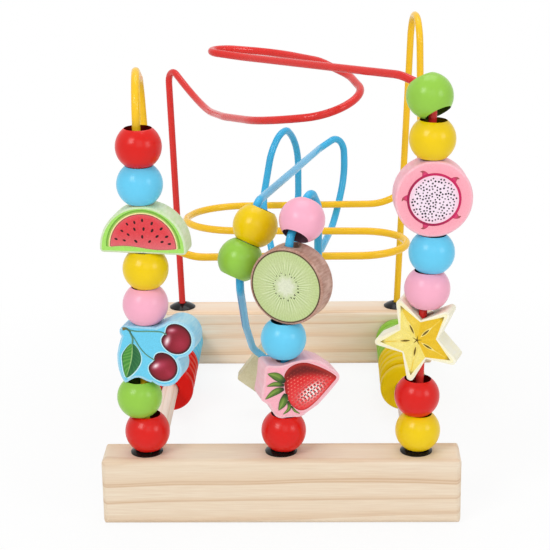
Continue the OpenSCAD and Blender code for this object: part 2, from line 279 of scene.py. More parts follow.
def planedWood(name, look):
    # softwood planed along the grain and left under a thin matt varnish: pale early wood, darker late wood
    # lines and fine fibres along the piece
    mat, tree, shader, where = newMaterial(name, look["finish"])
    run = look["run"]
    marks = {}
    for key in ("wave", "fibre", "streak"):
        sizeMm, stretch, detail = look[key]
        scale = [every(sizeMm)] * 3
        scale[run] /= stretch
        drawn = addNode(tree, "ShaderNodeMapping", {"Vector": where, "Scale": scale})
        marks[key] = addNode(tree, "ShaderNodeTexNoise", {"Vector": drawn, "Scale": 1.0, "Detail": detail})
    # distance from the pith, swaying and leaning along the piece, counted in rings
    axes = addNode(tree, "ShaderNodeSeparateXYZ", {0: where})
    side, up = [axes.outputs[i] for i in range(3) if i != run]
    sway = addNode(tree, "ShaderNodeMath", {0: marks["wave"], 1: look["swayMm"] * mm}, operation="MULTIPLY")
    lean = addNode(tree, "ShaderNodeMath", {0: axes.outputs[run], 1: -look["slant"], 2: sway},
                   operation="MULTIPLY_ADD")
    section = addNode(tree, "ShaderNodeCombineXYZ", {0: side, 1: up})
    out = addNode(tree, "ShaderNodeVectorMath", {0: section, 1: look["pith"]}, operation="DISTANCE")
    reach = addNode(tree, "ShaderNodeMath", {0: out.outputs["Value"], 1: lean}, operation="ADD")
    rings = addNode(tree, "ShaderNodeMath", {0: reach, 1: every(look["ringMm"])}, operation="MULTIPLY")
    phase = addNode(tree, "ShaderNodeMath", {0: rings}, operation="FRACT")
    ring = addNode(tree, "ShaderNodeValToRGB", {0: phase})
    early, mid, late = (linear(look[key]) for key in ("early", "mid", "late"))
    colour = setStops(ring, ringStops(look, early, mid, late))
    for key, tint in (("fibre", late), ("streak", mid)):
        first, last, most = look[key + "Tint"]
        share = addNode(tree, "ShaderNodeMapRange", {
            "Value": marks[key], "From Min": first, "From Max": last, "To Max": most})
        mixed = addNode(tree, "ShaderNodeMix", {0: share, 6: colour, 7: tint}, data_type="RGBA")
        colour = mixed.outputs[2]
    setSurface(tree, shader, colour, marks["fibre"], look["bump"])
    return mat


dress("front_beam", planedWood("planedPine.front", pineLook))
dress("rear_beam", planedWood("planedPine.rear", rearLightenedLook))
turnedDowel = planedWood("turnedBirchDowel", dowelLightenedLook)
for name in ("left_rod", "right_rod"):
    dress(name, turnedDowel)
print("beams and rods dressed")


# paint of the balls, discs and wires

paintColours = {"red": "#DC170F", "green": "#95CB48", "pink": "#F8B0C8", "yellow": "#F0CC00",
                "blue": "#67CDF3"}
discColours = {"l": ("red", "blue"), "r": ("yellow", "green")}      # front and rear, left and right rod
rearDiscs = 5
wireColours = {"red": "#E0332E", "blue": "#3FB6E8", "yellow": "#FCC824"}
paintLook = {
    "patchMm": 9.0, "shade": 0.12, "deepest": 0.72,
    # turning lines and orange peel are drawn coarser than they are, so that they show
    "turnMm": 0.9, "turnStretch": 0.1, "turnBump": 0.12, "peelMm": 0.7, "peelBump": 0.03, "bumpMm": 0.3,
    "roughness": (0.3, 0.42), "coatRoughness": 0.22, "specular": 0.06, "ballCoat": 0.45, "discCoat": 0.12,
    # boreShade is the share of the paint colour left on the bore walls, a painted shade
    "boreShade": 0.16, "boreTurn": 0.3,
}
enamelLook = {"patchMm": 14, "shade": 0.2, "deepest": 0.7, "rippleMm": 5, "bump": (0.02, 0.4),
              "finish": (0.26, 0.36, 0.08, 0.06)}
nylonLook = {"dark": "#0B0909", "light": "#181414", "hazeMm": 2.5, "dull": (0.14, 0.24),
             "finish": (0.2, 0.2, 0.06, 0.1)}


def patchyPaint(tree, where, hexText, look):
    # soft patches, and the colour going a little deeper in them
    patch = addNode(tree, "ShaderNodeTexNoise", {
        "Vector": where, "Scale": every(look["patchMm"]), "Detail": 2.0})
    share = addNode(tree, "ShaderNodeMapRange", {
        "Value": patch, "From Min": 0.35, "From Max": 0.7, "To Max": look["shade"]})
    colour = addNode(tree, "ShaderNodeMix", {
        0: share, 6: linear(hexText), 7: linear(hexText, look["deepest"])}, data_type="RGBA")
    return patch, colour.outputs[2]


def satinPaint(name, paint, look, coat, centre=None):
    # sprayed satin lacquer on turned beech: even colour, soft sheen, the turning lines just felt through it
    hexText = paintColours[paint]
    smooth, dull = look["roughness"]
    mat, tree, shader, where = newMaterial(
        name, ((smooth + dull) / 2, look[coat], look["coatRoughness"], look["specular"]))
    patch, colour = patchyPaint(tree, where, hexText, look)
    if centre:
        # painted shade: the walls of the drilled bore, which face inwards, are darkened to a small share of
        # the paint colour
        facing = addNode(tree, "ShaderNodeTexCoord").outputs["Normal"]
        away = addNode(tree, "ShaderNodeVectorMath", {0: where, 1: centre}, operation="SUBTRACT")
        away = addNode(tree, "ShaderNodeVectorMath", {0: away}, operation="NORMALIZE")
        outward = addNode(tree, "ShaderNodeVectorMath", {0: away, 1: facing}, operation="DOT_PRODUCT")
        outer = addNode(tree, "ShaderNodeMapRange", {
            "Value": outward.outputs["Value"], "From Max": look["boreTurn"]})
        paintedBoreShade = linear(hexText, look["boreShade"])
        mixed = addNode(tree, "ShaderNodeMix", {0: outer, 6: paintedBoreShade, 7: colour}, data_type="RGBA")
        colour = mixed.outputs[2]
    stretch = look["turnStretch"]
    ringed = addNode(tree, "ShaderNodeMapping", {"Vector": where, "Scale": (stretch, stretch, 1.0)})
    lathe = addNode(tree, "ShaderNodeTexNoise", {
        "Vector": ringed, "Scale": every(look["turnMm"]), "Detail": 2.0})
    peel = addNode(tree, "ShaderNodeTexNoise", {
        "Vector": where, "Scale": every(look["peelMm"]), "Detail": 1.0})
    rough = addNode(tree, "ShaderNodeMapRange", {
        "Value": patch, "From Min": 0.3, "From Max": 0.7, "To Min": smooth, "To Max": dull})
    bump = addNode(tree, "ShaderNodeBump", {
        "Height": lathe, "Strength": look["turnBump"], "Distance": look["bumpMm"] * mm})
    skin = addNode(tree, "ShaderNodeBump", {
        "Height": peel, "Strength": look["peelBump"], "Distance": look["bumpMm"] * mm, "Normal": bump})
    feed(tree, shader, {"Base Color": colour, "Roughness": rough, "Normal": skin})
    return mat


def dippedEnamel(name, hexText, look):
    # steel wire dipped in enamel: glossy, slightly thicker and darker where the coat ran
    mat, tree, shader, where = newMaterial(name, look["finish"])
    colour = patchyPaint(tree, where, hexText, look)[1]
    ripple = addNode(tree, "ShaderNodeTexNoise", {"Vector": where, "Scale": every(look["rippleMm"])})
    setSurface(tree, shader, colour, ripple, look["bump"])
    return mat


def mouldedNylon(name, look):
    # moulded nylon: near black, glossy on the dome, a little moulding haze
    mat, tree, shader, where = newMaterial(name, look["finish"])
    haze = addNode(tree, "ShaderNodeTexNoise", {
        "Vector": where, "Scale": every(look["hazeMm"]), "Detail": 3.0})
    tone = addNode(tree, "ShaderNodeValToRGB", {0: haze})
    dull = addNode(tree, "ShaderNodeMapRange", {
        "Value": haze, "To Min": look["dull"][0], "To Max": look["dull"][1]})
    colour = setStops(tone, [(0.3, linear(look["dark"])), (0.8, linear(look["light"]))])
    feed(tree, shader, {"Base Color": colour, "Roughness": dull})
    return mat


discPaints = {}
for name in ("red", "blue", "yellow", "green"):
    discPaints[name] = satinPaint("rolledLacquer." + name, name, paintLook, "discCoat")
for name in nodes:
    if name.startswith("bead_"):
        low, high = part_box(name)
        centre = tuple((a + b) / 2 for a, b in zip(low, high))
        paint = name.split("_")[2]
        dress(name, satinPaint("satinLacquer." + name[5:], paint, paintLook, "ballCoat", centre))
    elif name.startswith("disc_"):
        rear = int(name[-2:]) <= rearDiscs
        dress(name, discPaints[discColours[name[5]][rear]])
for name, value in wireColours.items():
    dress("wire_" + name, dippedEnamel("dippedEnamel." + name, value, enamelLook))
dress("grommets", mouldedNylon("mouldedNylon", nylonLook))
print("balls, discs, wires and grommets dressed")


# fruit slabs

slabs = {       # place is the wire foot's x, the wire's lean, up, aside, yaw and a shift of the face
    "slab_cherry": {"place": (-73.5, 0.4, 59.1, 0, -12), "side": ("#86C9E8", "#B2DCEC"),
                    "slot": "paint_blue"},
    "slab_melon": {"place": (-73.5, 0.4, 117.7, 1.5, -8, 1.6), "side": ("#C3DDA2", "#DDE8CB"),
                   "slot": "paint_green"},
    "slab_strawberry": {"place": (0, 2.8, 39.9, 0, 17), "side": ("#F0B4BF", "#F3C9D0"),
                        "slot": "paint_pink"},
    "slab_kiwi": {"place": (0, 2.8, 96.6, 2, -23), "side": ("#9C6A58", "#D0AC9C"), "slot": "paint_green"},
    "slab_star": {"place": (73.5, 2, 66.2, 1.6, -18, -2.3), "side": ("#F6F0CF", "#F7F4E4"),
                  "slot": "paint_cream"},
    "slab_dragon": {"place": (73.5, 2, 143.6, 1.9, 3.5), "side": ("#F6B0BE", "#F8C6D0"),
                    "slot": "paint_rose"},
}
squareSide = ("#C9C29A", "#DAD4B4")
slabRow = {"beamTop": 38.0, "rowY": -122.5, "half": 7.25}      # mm; half is half a slab's thickness
edgeLook = {"roundMm": 1.1, "steps": 4, "nearMm": 0.05, "sharpDegrees": 32}
stainLook = {"grainMm": 1.1, "grainStretch": 0.16, "cloudMm": 8, "cloudShare": 0.45, "stops": (0.32, 0.68),
             "bump": (0.1, 0.3), "finish": (0.5, 0.06, 0.3, 0.3)}


def slabPlace(footX, lean, up, aside, yaw, shift=0.0):
    # from a slab's own face in mm (right, up, out of the front) to the frame in metres
    return (Matrix.Scale(mm, 4) @ Matrix.Translation((footX, slabRow["rowY"], slabRow["beamTop"]))
            @ Matrix.Rotation(math.radians(lean), 4, "Y") @ Matrix.Translation((aside, 0, up))
            @ Matrix.Rotation(math.radians(yaw), 4, "Z") @ Matrix.Rotation(math.pi / 2, 4, "X")
            @ Matrix.Translation((shift, 0, 0)))


def stainedWood(name, deep, pale, yaw, look):
    # sanded lime wood under a thin water stain: matt, the grain showing paler through the colour
    mat, tree, shader, where = newMaterial(name, look["finish"])
    turn = addNode(tree, "ShaderNodeMapping", {"Vector": where, "Rotation": (0, 0, -math.radians(yaw))})
    along = addNode(tree, "ShaderNodeMapping", {"Vector": turn, "Scale": (1.0, look["grainStretch"], 1.0)})
    grain = addNode(tree, "ShaderNodeTexNoise", {
        "Vector": along, "Scale": every(look["grainMm"]), "Detail": 3.0})
    cloud = addNode(tree, "ShaderNodeTexNoise", {
        "Vector": turn, "Scale": every(look["cloudMm"]), "Detail": 2.0})
    both = addNode(tree, "ShaderNodeMix", {0: look["cloudShare"], 2: grain, 3: cloud}, data_type="FLOAT")
    tone = addNode(tree, "ShaderNodeValToRGB", {0: both})
    colour = setStops(tone, list(zip(look["stops"], (linear(deep), linear(pale)))))
    setSurface(tree, shader, colour, grain, look["bump"])
    return mat


def softenSlab(nodeName, look):
    # the CAD slab with its front and back edges rounded; also gives the front face outline in mm
    toFace = slabPlace(*look["place"]).inverted()
    half, near = slabRow["half"], edgeLook["nearMm"]
    bm = bmesh.new()
    bm.from_mesh(nodes[nodeName].data)
    bmesh.ops.remove_doubles(bm, verts=bm.verts, dist=2e-6)
    bmesh.ops.dissolve_limit(bm, angle_limit=math.radians(0.6), verts=bm.verts, edges=bm.edges)
    depth = {v: abs((toFace @ v.co).z) for v in bm.verts}
    rim = [e for e in bm.edges if len(e.link_faces) == 2 and e.calc_face_angle() > 0.8
           and all(abs(depth[v] - half) < near for v in e.verts)]
    front = max((f for f in bm.faces if (toFace @ f.calc_center_median()).z > half - near),
                key=lambda f: f.calc_area())
    outline = [tuple((toFace @ v.co).to_2d()) for v in front.verts]
    bmesh.ops.bevel(bm, geom=rim, offset=edgeLook["roundMm"] * mm, segments=edgeLook["steps"], profile=0.5,
                    affect="EDGES", clamp_overlap=True)
    data = bpy.data.meshes.new(nodeName + "_soft")
    bm.to_mesh(data)
    bm.free()
    data.shade_smooth()
    data.set_sharp_from_angle(angle=math.radians(edgeLook["sharpDegrees"]))
    piece = addObject(nodeName + "_soft", data)
    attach(piece, nodeName)
    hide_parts(nodeName)
    return piece, outline


outlines = {}
for name, look in slabs.items():
    stain = stainedWood("stainedLime." + name[5:], *look["side"], look["place"][4], stainLook)
    if name in ("slab_kiwi", "slab_dragon"):
        dress(name, stain)
    else:
        piece, outlines[name] = softenSlab(name, look)
        piece.data.materials.append(stain)
dress("slab_square", stainedWood("stainedLime.square", *squareSide, 0, stainLook))
print("slabs rounded and stained")


# fruit pictures: flat patches of ink laid on the slab faces, coloured point by point

inkLook = {"firstMm": 0.06, "stepMm": 0.05, "insetMm": 0.1, "finish": (0.42, 0.1, 0.2, 0.25),
           "dotMm": 0.7, "dotTint": (0.94, 1.04), "bump": (0.04, 0.2)}


def inksOf(look, names):
    return [ink(look[name]) for name in names.split()]


def clamp(share):
    return min(max(share, 0.0), 1.0)


def blend(a, b, share):
    return a + (b - a) * clamp(share)


def flat(colour):
    return lambda *at: colour


def spotAt(u, w, at, size, turn=0.0):
    # a soft spot, 1 in its middle
    c, s = math.cos(math.radians(turn)), math.sin(math.radians(turn))
    du, dw = u - at[0], w - at[1]
    return math.exp(-((du * c + dw * s) / size[0]) ** 2 - ((dw * c - du * s) / size[1]) ** 2)


def polar(radius, degrees, centre=(0.0, 0.0)):
    a = math.radians(degrees)
    return np.array([centre[0] + radius * math.cos(a), centre[1] + radius * math.sin(a)])


def curveAt(a, b, c, d, t):
    # smooth curve from b to c, with a before and d after it
    return 0.5 * (2 * b + (c - a) * t + (2 * a - 5 * b + 4 * c - d) * t * t
                  + (3 * b - a - 3 * c + d) * t ** 3)


def loopThrough(points, count):
    # closed smooth curve through given points
    pts = np.array(points, float)
    out = []
    for k in range(count):
        i, t = divmod(k / count * len(pts), 1)
        out.append(curveAt(*(pts[(int(i) + j) % len(pts)] for j in (-1, 0, 1, 2)), t))
    return np.array(out)


def lineThrough(points, count):
    # open smooth curve through given points
    pts = np.array(points, float)
    pts = np.vstack([2 * pts[0] - pts[1], pts, 2 * pts[-1] - pts[-2]])
    spans = len(pts) - 3
    out = []
    for k in range(count):
        x = k / (count - 1) * spans
        i = min(int(x), spans - 1)
        out.append(curveAt(*pts[i:i + 4], x - i))
    return np.array(out)


def roundLoop(centre, radius, count, dent=None):
    # a ring of points; dent is (angle, depth, width) of a hollow in it
    out = []
    for k in range(count):
        a = 360 * k / count
        r = radius
        if dent:
            off = (a - dent[0] + 180) % 360 - 180
            r -= dent[1] * math.exp(-(off / dent[2]) ** 2)
        out.append(polar(r, a, centre))
    return np.array(out)


def newSheet():
    return {"co": [], "faces": [], "ink": []}


def inkPoint(sheet, point, layer, colour):
    sheet["co"].append((point[0], point[1], layer))
    sheet["ink"].append(colour)


def layPatch(sheet, outline, centre, layer, colourAt, rings, inner=0.0):
    # fills an outline with rings of quads round a centre; inner leaves a hole
    base, n = len(sheet["co"]), len(outline)
    mid = np.array(centre, float)
    for k in range(rings + 1):
        share = 1 - (1 - inner) * k / rings
        if share < 1e-6:
            break
        for p in mid + (np.array(outline) - mid) * share:
            inkPoint(sheet, p, layer, colourAt(p[0], p[1], share))
    last = (len(sheet["co"]) - base) // n - 1
    for k in range(last):
        near, far = base + k * n, base + (k + 1) * n
        for i in range(n):
            j = (i + 1) % n
            sheet["faces"].append((near + i, near + j, far + j, far + i))
    if inner == 0:
        inkPoint(sheet, mid, layer, colourAt(mid[0], mid[1], 0.0))
        tip, far = len(sheet["co"]) - 1, base + last * n
        for i in range(n):
            sheet["faces"].append((far + i, far + (i + 1) % n, tip))


def layStrip(sheet, path, halfWidth, layer, colourAt, across=2):
    # a ribbon along a path; halfWidth and colourAt take the share along it, colourAt also the share across
    path = np.array(path, float)
    base, n = len(sheet["co"]), len(path)
    for k, p in enumerate(path):
        d = path[min(k + 1, n - 1)] - path[max(k - 1, 0)]
        d = d / np.linalg.norm(d)
        t = k / (n - 1)
        for i in range(across + 1):
            s = 2 * i / across - 1
            inkPoint(sheet, p + np.array([-d[1], d[0]]) * s * halfWidth(t), layer, colourAt(t, s))
    for k in range(n - 1):
        for i in range(across):
            a = base + k * (across + 1) + i
            sheet["faces"].append((a, a + across + 1, a + across + 2, a + 1))


def groundSheet(fruit, look):
    # a new sheet with the face colour over the whole slab face, drawn in a little from its rounded edge
    def unit(rows):
        return rows / np.linalg.norm(rows, axis=1)[:, None]
    sheet = newSheet()
    pts = np.array(outlines["slab_" + fruit], float)
    way = unit(unit(np.roll(pts, -1, 0) - pts) + unit(pts - np.roll(pts, 1, 0)))
    turned = np.sum(pts[:, 0] * np.roll(pts[:, 1], -1) - pts[:, 1] * np.roll(pts[:, 0], -1)) > 0
    inward = np.stack([-way[:, 1], way[:, 0]], 1) * (1 if turned else -1)
    pts = pts + inward * (edgeLook["roundMm"] + inkLook["insetMm"])
    for p in pts:
        inkPoint(sheet, p, 0, ink(look["ground"]))
    for tri in tessellate_polygon([[Vector((p[0], p[1], 0)) for p in pts]]):
        sheet["faces"].append(tuple(tri))
    return sheet


def screenPrint(name, look):
    # screen print under varnish: flat inks with a light sheen and a fine dot, drawn coarser than it is
    mat, tree, shader, where = newMaterial(name, look["finish"])
    laid = addNode(tree, "ShaderNodeAttribute", attribute_name="ink")
    dots = addNode(tree, "ShaderNodeTexNoise", {
        "Vector": where, "Scale": every(look["dotMm"]), "Detail": 1.0})
    share = addNode(tree, "ShaderNodeMapRange", {
        "Value": dots, "From Min": 0.35, "From Max": 0.65,
        "To Min": look["dotTint"][0], "To Max": look["dotTint"][1]})
    tinted = addNode(tree, "ShaderNodeVectorMath", {0: laid.outputs["Color"], 3: share}, operation="SCALE")
    setSurface(tree, shader, tinted, dots, look["bump"])
    return mat


printedInk = screenPrint("screenPrint", inkLook)


def inkHeight(layer):
    # from the slab's middle plane up to a layer of ink, in mm
    return slabRow["half"] + inkLook["firstMm"] + inkLook["stepMm"] * layer


def setInk(data, inks):
    # one ink for each point of a mesh
    rows = np.hstack([toLinear(inks), np.ones((len(inks), 1))])
    layer = data.attributes.new("ink", "FLOAT_COLOR", "POINT")
    layer.data.foreach_set("color", rows.astype(np.float32).ravel())


def putOnSlab(name, data, slabName):
    data.transform(slabPlace(*slabs[slabName]["place"]))
    piece = addObject(name, data)
    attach(piece, slabName)


def addPrint(fruit, sheet):
    # the same picture on the front and, seen from behind, on the back of a slab
    co = np.array(sheet["co"], float)
    co[:, 2] = inkHeight(co[:, 2])
    back = co * np.array([1, 1, -1])
    faces = []
    for f in sheet["faces"]:
        p = [co[i] for i in f[:3]]
        area = (p[1][0] - p[0][0]) * (p[2][1] - p[0][1]) - (p[1][1] - p[0][1]) * (p[2][0] - p[0][0])
        f = tuple(f) if area > 0 else tuple(reversed(f))
        faces.append(f)
        faces.append(tuple(i + len(co) for i in reversed(f)))
    data = bpy.data.meshes.new(fruit + "_picture")
    data.from_pydata(np.vstack([co, back]).tolist(), [], faces)
    setInk(data, np.vstack([sheet["ink"], sheet["ink"]]))
    data.materials.append(printedInk)
    putOnSlab(fruit + "_picture", data, "slab_" + fruit)


# seeds printed over the pictures, by Geometry Nodes

def openTree(name, inputs):
    tree = bpy.data.node_groups.new(name, "GeometryNodeTree")
    tree.is_modifier = True
    for label, kind in {"Geometry": "Geometry", **inputs, "Ink": "Material"}.items():
        tree.interface.new_socket(label, in_out="INPUT", socket_type="NodeSocket" + kind)
    tree.interface.new_socket("Geometry", in_out="OUTPUT", socket_type="NodeSocketGeometry")
    return tree, addNode(tree, "NodeGroupInput")


def closeTree(tree, start, put):
    # the instances become a plain mesh in the ink
    real = addNode(tree, "GeometryNodeRealizeInstances", {0: put})
    coat = addNode(tree, "GeometryNodeSetMaterial", {"Geometry": real, "Material": start.outputs["Ink"]})
    addNode(tree, "NodeGroupOutput", {"Geometry": coat})
    return tree


def seedTree():
    # one small oval on every point, turned and sized by the point's own values
    tree, start = openTree("seedsOnPoints", {"Seed length": "Float", "Seed width": "Float"})
    disc = addNode(tree, "GeometryNodeMeshCircle", {"Vertices": 10, "Radius": 0.5},
                   fill_type="TRIANGLE_FAN")
    size = addNode(tree, "ShaderNodeCombineXYZ", {
        0: start.outputs["Seed length"], 1: start.outputs["Seed width"], 2: 1.0})
    oval = addNode(tree, "GeometryNodeTransform", {"Geometry": disc, "Scale": size})
    turn = addNode(tree, "GeometryNodeInputNamedAttribute", {"Name": "turn"}, data_type="FLOAT")
    grow = addNode(tree, "GeometryNodeInputNamedAttribute", {"Name": "grow"}, data_type="FLOAT")
    spin = addNode(tree, "ShaderNodeCombineXYZ", {2: turn})
    put = addNode(tree, "GeometryNodeInstanceOnPoints", {
        "Points": start.outputs["Geometry"], "Instance": oval, "Rotation": spin, "Scale": grow})
    return closeTree(tree, start, put)


def scatterTree():
    # round seeds thrown over a disc, never closer than a set gap
    tree, start = openTree("seedsOnDisc", {
        "Disc radius": "Float", "Seed size": "Float", "Least gap": "Float", "Seed": "Int"})
    disc = addNode(tree, "GeometryNodeMeshCircle", {"Vertices": 48, "Radius": start.outputs["Disc radius"]},
                   fill_type="TRIANGLE_FAN")
    throw = addNode(tree, "GeometryNodeDistributePointsOnFaces", {
        "Mesh": disc, "Distance Min": start.outputs["Least gap"], "Density Max": 2.0,
        "Seed": start.outputs["Seed"]}, distribute_method="POISSON")
    seed = addNode(tree, "GeometryNodeMeshCircle", {"Vertices": 9, "Radius": start.outputs["Seed size"]},
                   fill_type="TRIANGLE_FAN")
    grow = addNode(tree, "FunctionNodeRandomValue", {2: 0.7, 3: 1.1, "Seed": 4}, data_type="FLOAT")
    put = addNode(tree, "GeometryNodeInstanceOnPoints", {
        "Points": throw.outputs["Points"], "Instance": seed, "Scale": grow.outputs[1]})
    return closeTree(tree, start, put)


seedsOnPoints = seedTree()
seedsOnDisc = scatterTree()


def runTree(name, tree, points, values):
    # runs a tree on a few points and hands back its plain mesh; a point is x, y, z, turn, grow and ink
    data = bpy.data.meshes.new(name + "_points")
    data.from_pydata([p[:3] for p in points], [], [])
    if len(points[0]) > 3:
        for label, column in (("turn", 3), ("grow", 4)):
            layer = data.attributes.new(label, "FLOAT", "POINT")
            layer.data.foreach_set("value", [p[column] for p in points])
        setInk(data, [p[5] for p in points])
    holder = addObject(name + "_points", data)
    modifier = holder.modifiers.new("seeds", "NODES")
    modifier.node_group = tree
    sockets = {s.name: s.identifier for s in tree.interface.items_tree if s.in_out == "INPUT"}
    for label, value in values.items():
        modifier[sockets[label]] = value
    ready = holder.evaluated_get(bpy.context.evaluated_depsgraph_get())
    made = bpy.data.meshes.new_from_object(ready)
    holder.modifiers.remove(modifier)
    bpy.data.objects.remove(holder)
    return made


def addSeeds(fruit, data, layer):
    # lays a flat seed mesh on the front and back of a slab
    bm = bmesh.new()
    bm.from_mesh(data)
    bmesh.ops.translate(bm, verts=bm.verts, vec=(0, 0, inkHeight(layer)))
    twin = bmesh.ops.duplicate(bm, geom=bm.verts[:] + bm.edges[:] + bm.faces[:])["geom"]
    for v in twin:
        if isinstance(v, bmesh.types.BMVert):
            v.co.z = -v.co.z
    for f in bm.faces:
        f.normal_update()
        if f.normal.z * f.calc_center_median().z < 0:
            f.normal_flip()
    bm.to_mesh(data)
    bm.free()
    putOnSlab(fruit + "_seeds", data, "slab_" + fruit)


def sowSeeds(fruit, points, look, layer):
    length, width = look["seedMm"]
    made = runTree(fruit, seedsOnPoints, points, {
        "Seed length": length, "Seed width": width, "Ink": printedInk})
    addSeeds(fruit, made, layer)


# cherries

cherryLook = {
    "ground": "#6BCDEE", "halo": "#BFEAF4", "haloMm": 0.6, "skin": "#A01A31", "deep": "#560814",
    "rim": "#2A0712", "shine": "#FBE6EA", "haze": "#CB4F6C",
    # centre, radius and dent of each cherry, then its soft spots: place, size, turn, strength and ink
    "small": ((12.8, -6.0), 8.2, (150, 2.3, 25), (
        ((-1.4, 0.8), (4.2, 2.4), 35, 0.6, "haze"), ((3.6, -3.4), (2.2, 3.2), 40, 0.25, "haze"),
        ((-3.8, 0.4), (2.1, 1.2), 38, 1.0, "shine"), ((-0.2, 6.2), (4.5, 1.8), 0, 0.7, "deep"))),
    "big": ((20.6, 10.4), 8.5, (155, 1.9, 24), (
        ((-2.2, 4.6), (2.9, 1.6), 10, 0.6, "haze"), ((2.4, -2.4), (3.6, 3.6), 0, 0.25, "haze"),
        ((-4.9, -1.4), (1.4, 3.0), -20, 1.0, "shine"), ((-2.4, 4.8), (1.9, 0.9), 12, 0.55, "shine"),
        ((-6.6, 2.6), (1.1, 1.6), 20, 0.9, "rim"))),
    # path and half width of each stem
    "stems": (([(-6.3, 13.9), (-1.7, 13.1), (5.4, 13.6), (12.0, 13.8), (15.4, 12.6)], 0.36),
              ([(-5.0, 12.6), (-2.2, 8.4), (-0.2, 4.9), (2.5, 1.5), (5.6, -0.9), (8.4, -2.4)], 0.34),
              ([(-5.0, 12.4), (-3.6, 9.0), (-3.8, 5.4)], 0.5)),
    "stem": "#2F6B5C", "stemPale": "#7FB59A", "knob": "#8A6A2E",
    "knobPath": [(-9.0, 13.9), (-6.8, 14.2), (-4.4, 12.6)],
    "leafPath": [(-3.8, 5.8), (-4.2, -0.1), (-5.3, -5.6), (-7.8, -13.8)], "veins": 8,
    "leafLight": "#4D9638", "leafDark": "#1F6235", "leafRib": "#C6E69A", "leafShade": "#4C8F58",
    "leafVein": "#5C9A50", "leafEdge": "#1F5A34",
}


def drawCherries(look):
    sheet = groundSheet("cherry", look)
    skin, deep, rim, halo = inksOf(look, "skin deep rim halo")
    for key in ("small", "big"):
        centre, radius, dent, spots = look[key]
        layPatch(sheet, roundLoop(centre, radius + look["haloMm"], 72, dent), centre, 1, flat(halo), 1)

        def skinAt(u, w, s):
            du, dw = u - centre[0], w - centre[1]
            c = blend(skin, deep, 0.25 + 0.5 * s ** 3 + 0.03 * (dw - du))
            for at, size, turn, strength, tint in spots:
                c = blend(c, ink(look[tint]), strength * spotAt(du, dw, at, size, turn))
            lit = 0.5 + 0.5 * math.cos(math.atan2(dw, du) - 2.7)
            return blend(c, rim, (s - 0.84) / 0.13 * (1 - 0.6 * lit))
        layPatch(sheet, roundLoop(centre, radius, 96, dent), centre, 2, skinAt, 22)
    # stems, and the knob that joins them
    green, pale, knob = inksOf(look, "stem stemPale knob")
    for path, width in look["stems"]:
        layStrip(sheet, lineThrough(path, 26), lambda t: width, 3,
                 lambda t, s: blend(green, pale, 0.5 - 0.5 * s))
    layStrip(sheet, lineThrough(look["knobPath"], 14), lambda t: 0.9 - 0.5 * t, 4,
             lambda t, s: blend(knob, green, t), 4)
    # leaf, lit on one side of its rib
    light, dark, rib = inksOf(look, "leafLight leafDark leafRib")
    shade, vein, edge = inksOf(look, "leafShade leafVein leafEdge")

    def leafAt(t, s):
        c = blend(light, dark, 0.5 + 4 * s)
        ridge = abs((t * look["veins"] - abs(s) * 1.6) % 1 - 0.5) * 2
        c = blend(c, shade, 0.5 * max(s, 0.0) ** 2)
        c = blend(c, rib if s < 0 else vein, 0.5 - (1 - ridge) * 2.5)
        c = blend(c, dark, 0.35 * (1 - ridge * 2.5))
        c = blend(c, rib, 0.85 * math.exp(-(s / 0.05) ** 2))
        return blend(c, edge, (abs(s) - 0.86) / 0.14)
    path = lineThrough(look["leafPath"], 44)
    layStrip(sheet, path, lambda t: 0.5 + 5.5 * math.sin(math.pi * (t * 0.94 + 0.03)) ** 0.8, 1, flat(halo))
    layStrip(sheet, path, lambda t: 0.1 + 5.3 * math.sin(math.pi * min(t * 0.97 + 0.03, 1)) ** 0.75, 2,
             leafAt, 44)
    addPrint("cherry", sheet)


drawCherries(cherryLook)


# strawberry

berryLook = {
    "ground": "#F9B3C1", "halo": "#F7C4CB", "haloGrow": 1.035, "body": "#DE2426", "shade": "#6E0E0B",
    "light": "#F0565A", "edge": "#A5161A", "duskEdge": "#B4281E", "shine": "#FFF6F2",
    "outline": [(-2.0, 4.8), (-1.9, 8.0), (0.4, 11.4), (4.6, 13.5), (9.4, 13.8), (15.0, 12.0),
                (21.0, 9.0), (25.6, 6.0), (27.2, 3.8), (25.0, 0.8), (21.1, -3.8), (16.6, -8.8),
                (12.0, -12.6), (8.4, -13.7), (5.0, -12.4), (1.6, -8.9), (-0.7, -4.1), (-1.7, 0.4)],
    "middle": (9.6, 0.6), "shineAt": (13.6, -3.0), "shineTurn": 36,
    "seedMm": (1.35, 0.75), "pitchMm": 2.1, "slant": (0.82, 0.57), "seedTurn": 35,
    "seedLit": "#EE7A6C", "seedDim": "#8A1F18", "seedShine": "#4A0A10",
    # path and half width of each sepal
    "sepals": (([(-1.6, 3.4), (-6.4, 6.9), (-11.4, 8.8)], 2.1),
               ([(-2.0, 1.5), (-7.0, 2.6), (-11.6, 1.7)], 1.25),
               ([(-2.0, -0.4), (-7.0, -2.0), (-12.2, -5.7)], 1.8),
               ([(-1.0, -3.2), (-2.2, -8.4), (-4.6, -12.7)], 2.1),
               ([(0.6, -7.6), (1.3, -12.0), (-1.9, -15.2)], 0.95),
               ([(2.4, -10.6), (4.6, -13.6), (7.4, -15.4)], 0.5)),
    "leafLight": "#8FB043", "leafDark": "#34521F", "leafBase": "#1D2B17", "leafRib": "#C3D688",
}


